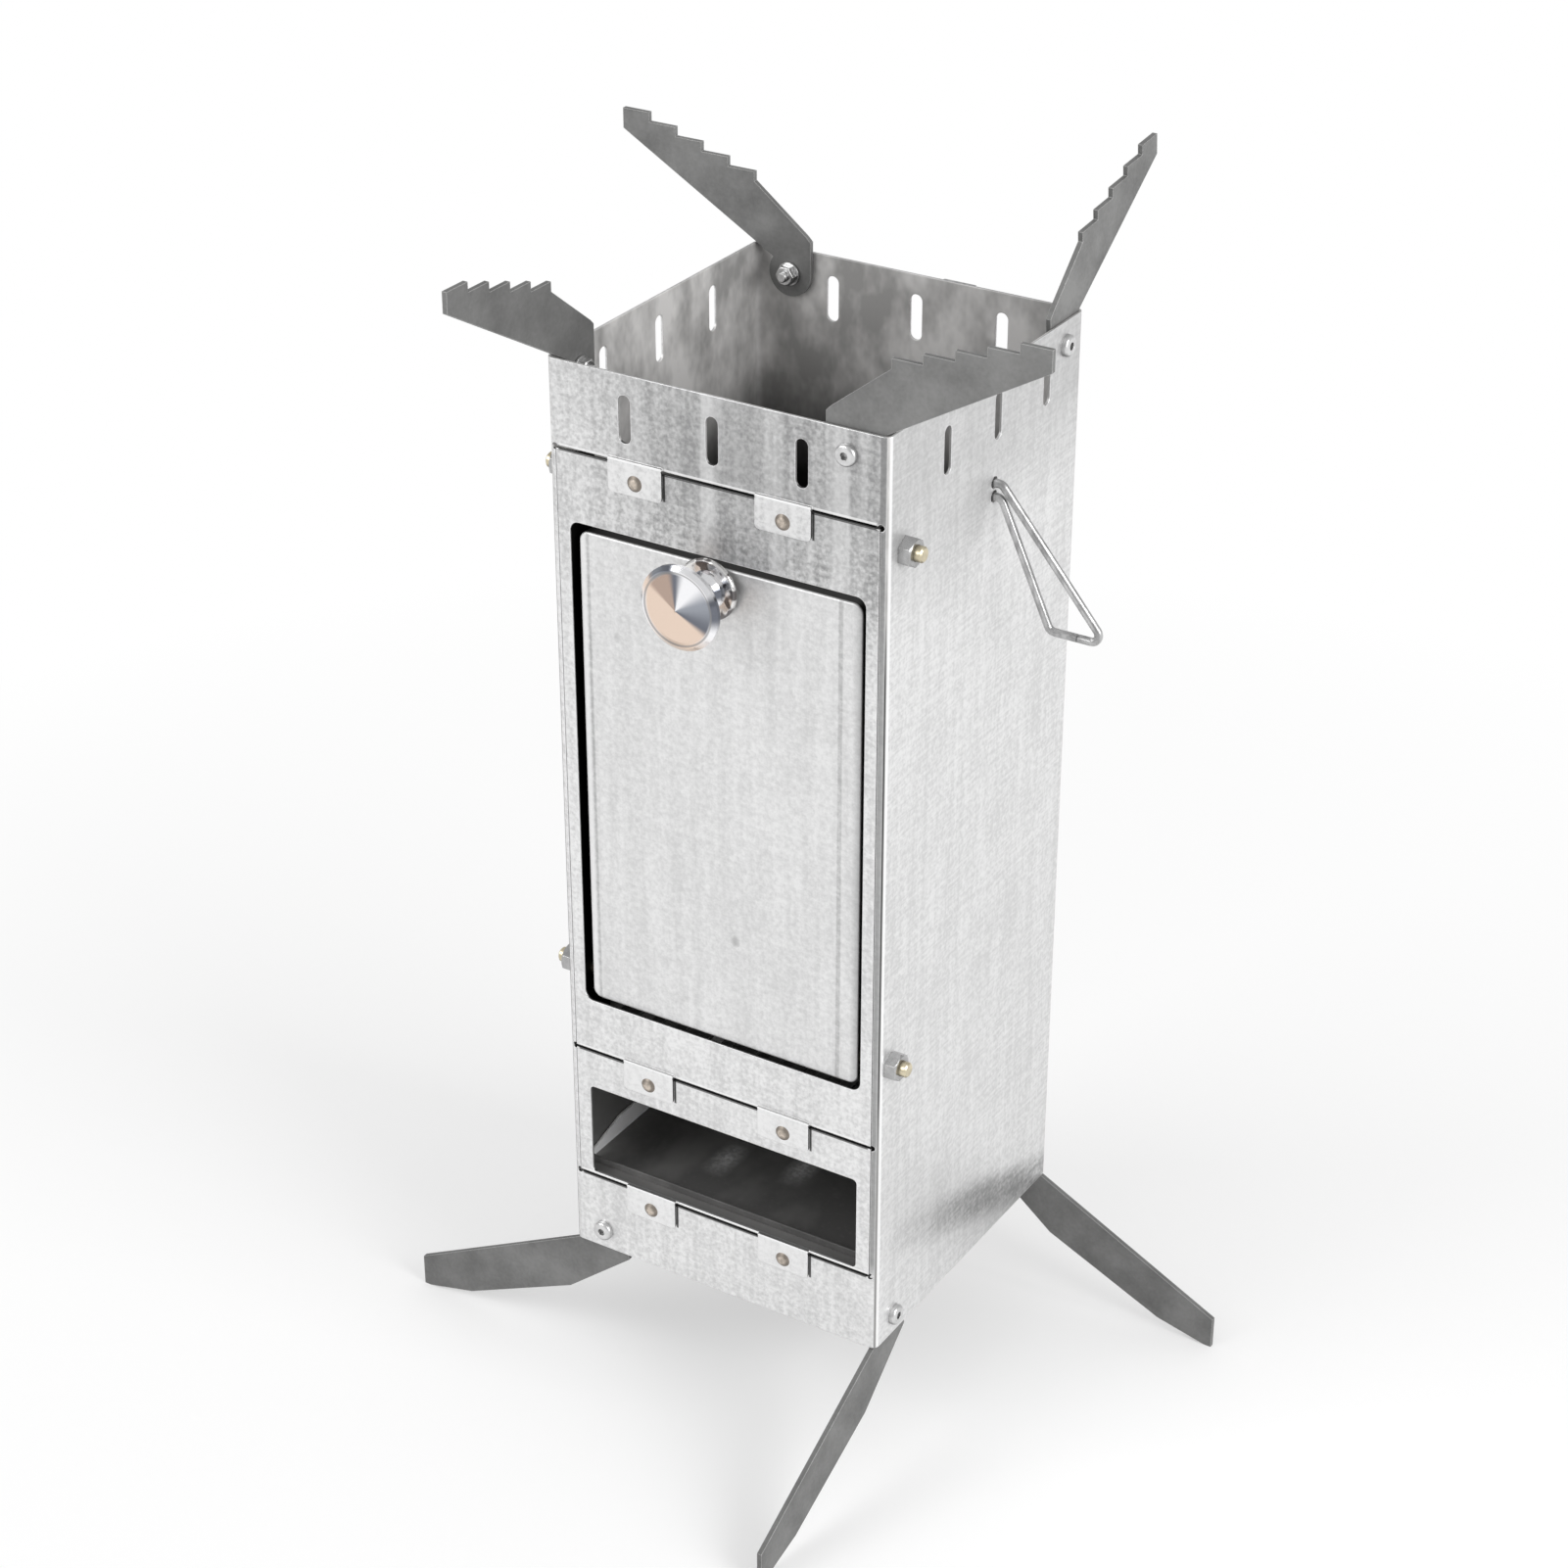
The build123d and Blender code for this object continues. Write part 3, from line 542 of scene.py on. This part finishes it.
def plated_finish(name, tone, roughness, smudge):
    """Plated hardware with faint smudges, painted shade in its recesses and on its undersides, and a painted
    highlight on its edges.
    """
    m = Shader(name)
    cloud = m.noise(260.0, detail=3.0)
    base = m.mix(m.span(cloud, 0.35, 0.65), scaled(tone, smudge), tuple(tone))
    normal, edge = m.edges(HARDWARE_ROUND)
    openness = m.add("ShaderNodeAmbientOcclusion", {"samples": 6}, Distance=0.0025).outputs["AO"]
    # Painted shade in the recesses
    base = m.wear(base, m.span(openness, 0.60, 0.30), (0.05, 0.05, 0.05), 0.85)
    # Painted shade on the undersides
    base = m.wear(base, m.span(m.axes(m.facing)[2], -0.20, -0.60), scaled(tone, 0.22), 0.8)
    # Painted highlight on the edges
    base = m.wear(base, edge, (0.9, 0.9, 0.88), 0.3)
    m.set(Base_Color=base, Metallic=1.0, Roughness=m.span(cloud, 0.3, 0.7, roughness + 0.05, roughness),
          Normal=normal)
    return m.material


def rivet_finish():
    """Dull brass rivets, with painted shade round their rims."""
    s = bpy.context.scene.stove_hardware
    m = Shader("rivet_brass")
    cloud = m.noise(700.0, detail=3.0)
    tone = m.mix(m.span(cloud, 0.40, 0.60), scaled(s.brass, 0.70), scaled(s.brass, 1.10))
    facing = m.axes(m.facing)
    crown = m.maths("MAXIMUM", m.maths("ABSOLUTE", facing[0]), m.maths("ABSOLUTE", facing[1]))
    # Painted shade where the dome slopes away round the rim
    tone = m.wear(tone, m.span(crown, 0.95, 0.86), scaled(s.brass, 0.35), 0.85)
    m.set(Base_Color=tone, Metallic=0.8, Roughness=m.span(cloud, 0.3, 0.7, 0.5, 0.4),
          Normal=m.bump(cloud, 0.00004, 0.5))
    return m.material


def wire_finish():
    """Drawn wire with fine marks along its length."""
    s = bpy.context.scene.stove_hardware
    m = Shader("zinc_wire")
    marks = m.noise(300.0, (1.0, 3.0, 0.4), 3.0)
    tone = m.mix(m.span(marks, 0.35, 0.65), scaled(s.zinc, 0.5), scaled(s.zinc, 0.88))
    m.set(Base_Color=tone, Metallic=1.0, Roughness=m.span(marks, 0.3, 0.7, 0.38, 0.26),
          Normal=m.bump(marks, 0.00003, 0.4))
    return m.material


def paint(material, slot_name, *nodes):
    """Put one material on CAD nodes; slot_name is not used."""
    for name in nodes:
        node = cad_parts[name]
        node.data.materials.clear()
        node.data.materials.append(material)


# Operators

class STOVE_OT_body(bpy.types.Operator):
    """Finish the body shell, the front sheets and the floor tray"""
    bl_idname = "stove.body"
    bl_label = "Body sheets"
    bl_options = {"REGISTER", "UNDO"}

    def execute(self, context):
        paint(sheet_finish("galvanised_sheet", 1.0, 0.35), "galvanised_sheet", "body_shell",
              "air_inlet_panel")
        # The frame's inside is painted near black as shade
        paint(sheet_finish("frame_sheet", 0.05, 1.0), "galvanised_sheet", "door_frame")
        paint(tray_finish(), "galvanised_sheet", "floor_tray")
        return {"FINISHED"}


class STOVE_OT_door(bpy.types.Operator):
    """Finish the feed door"""
    bl_idname = "stove.door"
    bl_label = "Feed door"
    bl_options = {"REGISTER", "UNDO"}

    def execute(self, context):
        paint(door_finish(), "galvanised_sheet", "feed_door")
        return {"FINISHED"}


class STOVE_OT_knob(bpy.types.Operator):
    """Polish the knob and its rosette"""
    bl_idname = "stove.knob"
    bl_label = "Knob"
    bl_options = {"REGISTER", "UNDO"}

    def execute(self, context):
        paint(knob_finish(), "polished_chrome", "door_knob")
        paint(rosette_finish(), "polished_chrome", "knob_rosette")
        return {"FINISHED"}


class STOVE_OT_grate(bpy.types.Operator):
    """Finish the heat-darkened grate"""
    bl_idname = "stove.grate"
    bl_label = "Fuel grate"
    bl_options = {"REGISTER", "UNDO"}

    def execute(self, context):
        paint(plate_finish("scaled_steel", 0.7), "scaled_steel", "fuel_grate")
        return {"FINISHED"}


class STOVE_OT_supports(bpy.types.Operator):
    """Finish the pot supports"""
    bl_idname = "stove.supports"
    bl_label = "Pot supports"
    bl_options = {"REGISTER", "UNDO"}

    def execute(self, context):
        paint(plate_finish("support_plate", 1.1), "dark_plate", *["pot_support_" + wall for wall in WALLS])
        return {"FINISHED"}


class STOVE_OT_legs(bpy.types.Operator):
    """Finish the legs"""
    bl_idname = "stove.legs"
    bl_label = "Legs"
    bl_options = {"REGISTER", "UNDO"}

    def execute(self, context):
        paint(plate_finish("leg_plate", 1.0), "dark_plate", *["leg_" + wall for wall in WALLS])
        return {"FINISHED"}


class STOVE_OT_fasteners(bpy.types.Operator):
    """Finish the screws, nuts, washers, bushes and rivets"""
    bl_idname = "stove.fasteners"
    bl_label = "Fasteners"
    bl_options = {"REGISTER", "UNDO"}

    def execute(self, context):
        s = context.scene.stove_hardware
        paint(plated_finish("zinc_screw", s.zinc, 0.28, 0.82), "zinc_screw", "support_screws",
              "support_washers", "support_nuts", "leg_screws", "leg_washers", "leg_nuts", "knob_screw",
              "side_bushes")
        paint(plated_finish("nut_zinc", scaled(s.zinc, 0.66), 0.24, 0.80), "zinc_screw", "side_nuts")
        paint(plated_finish("yellow_zinc", s.yellow, 0.30, 0.75), "yellow_zinc", "frame_screws",
              "hinge_screws")
        paint(rivet_finish(), "rivet_brass", "front_rivets", "seam_rivets")
        return {"FINISHED"}


class STOVE_OT_bails(bpy.types.Operator):
    """Finish the wire bails"""
    bl_idname = "stove.bails"
    bl_label = "Wire bails"
    bl_options = {"REGISTER", "UNDO"}

    def execute(self, context):
        paint(wire_finish(), "zinc_screw", "bail_right", "bail_left")
        return {"FINISHED"}


class STOVE_OT_stage(bpy.types.Operator):
    """Set the floor, the lights, the world and the camera"""
    bl_idname = "stove.stage"
    bl_label = "Studio"
    bl_options = {"REGISTER", "UNDO"}

    def execute(self, context):
        s = context.scene.stove_studio
        make_floor(s)
        make_world(s)
        area_light("key", KEY_PLACE, KEY_SIZE, s.key)
        area_light("fill", FILL_PLACE, FILL_SIZE, s.fill)
        make_camera()
        return {"FINISHED"}


# Studio

def make_floor(s):
    """A white floor that keeps the stove's shadow and fades to plain white away from it."""
    mesh = bpy.data.meshes.new("studio_floor")
    shape = bmesh.new()
    bmesh.ops.create_grid(shape, x_segments=1, y_segments=1, size=FLOOR_HALF)
    shape.to_mesh(mesh)
    shape.free()
    floor = bpy.data.objects.new("studio_floor", mesh)
    bpy.context.scene.collection.objects.link(floor)
    m = Shader("studio_floor")
    m.set(Base_Color=(*s.floor, 1.0), Roughness=0.9, Specular_IOR_Level=0.0)
    path = m.add("ShaderNodeLightPath").outputs
    seen = m.maths("MAXIMUM", path["Is Glossy Ray"], path["Is Transmission Ray"])
    seen = m.maths("MAXIMUM", path["Is Camera Ray"], seen)
    far = m.add("ShaderNodeVectorMath", {"operation": "LENGTH"}, Vector=m.coords).outputs["Value"]
    white = m.add("ShaderNodeEmission", None, Color=(1.0, 1.0, 1.0, 1.0), Strength=1.0).outputs[0]
    blend = m.add("ShaderNodeMixShader", None, Fac=m.product(seen, m.span(far, *FLOOR_FADE, 0.35, 1.0)))
    m.feed(blend.inputs[1], m.bsdf.outputs[0])
    m.feed(blend.inputs[2], white)
    m.feed(m.tree.nodes["Material Output"].inputs["Surface"], blend.outputs[0])
    mesh.materials.append(m.material)


def make_world(s):
    """Even light from all round, plain white where the camera sees it."""
    world = bpy.data.worlds.new("studio")
    world.use_nodes = True
    tree = world.node_tree
    tree.nodes.clear()
    path = tree.nodes.new("ShaderNodeLightPath")
    mix = tree.nodes.new("ShaderNodeMixShader")
    out = tree.nodes.new("ShaderNodeOutputWorld")
    for socket, strength in ((mix.inputs[1], s.world), (mix.inputs[2], 1.0)):
        light = tree.nodes.new("ShaderNodeBackground")
        light.inputs["Color"].default_value = (1.0, 1.0, 1.0, 1.0)
        light.inputs["Strength"].default_value = strength
        tree.links.new(light.outputs[0], socket)
    tree.links.new(path.outputs["Is Camera Ray"], mix.inputs[0])
    tree.links.new(mix.outputs[0], out.inputs[0])
    bpy.context.scene.world = world


def area_light(name, place, size, watts):
    data = bpy.data.lights.new(name, "AREA")
    data.size = size
    data.energy = watts
    light = bpy.data.objects.new(name, data)
    bpy.context.scene.collection.objects.link(light)
    light.location = place
    light.rotation_euler = (Vector(LIGHT_TARGET) - Vector(place)).to_track_quat("-Z", "Y").to_euler()


def make_camera():
    data = bpy.data.cameras.new("camera")
    data.sensor_width = CAMERA_SENSOR
    data.lens = CAMERA_LENS
    camera = bpy.data.objects.new("camera", data)
    bpy.context.scene.collection.objects.link(camera)
    camera.location = CAMERA_PLACE
    camera.rotation_euler = CAMERA_TURN
    bpy.context.scene.camera = camera


# Panel and registration

OPERATORS = (STOVE_OT_body, STOVE_OT_door, STOVE_OT_knob, STOVE_OT_grate, STOVE_OT_supports, STOVE_OT_legs,
             STOVE_OT_fasteners, STOVE_OT_bails, STOVE_OT_stage)


class STOVE_PT_panel(bpy.types.Panel):
    """Sizes, colours and build steps of the stove"""
    bl_idname = "STOVE_PT_panel"
    bl_label = "Folding rocket stove"
    bl_space_type = "VIEW_3D"
    bl_region_type = "UI"
    bl_category = "Stove"

    def draw(self, context):
        for key in GROUPS:
            group = getattr(context.scene, key)
            box = self.layout.box()
            for name in group.__annotations__:
                box.prop(group, name)
        for operator in OPERATORS:
            self.layout.operator(operator.bl_idname)


def register():
    for key, group in GROUPS.items():
        bpy.utils.register_class(group)
        setattr(bpy.types.Scene, key, bpy.props.PointerProperty(type=group))
    for cls in (*OPERATORS, STOVE_PT_panel):
        bpy.utils.register_class(cls)


def unregister():
    for cls in (STOVE_PT_panel, *reversed(OPERATORS)):
        bpy.utils.unregister_class(cls)
    for key, group in reversed(list(GROUPS.items())):
        delattr(bpy.types.Scene, key)
        bpy.utils.unregister_class(group)


def main():
    register()
    bpy.context.scene.view_settings.view_transform = "Standard"
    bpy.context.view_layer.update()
    for operator in OPERATORS:
        area, name = operator.bl_idname.split(".")
        getattr(getattr(bpy.ops, area), name)()


if __name__ == "__main__":
    main()
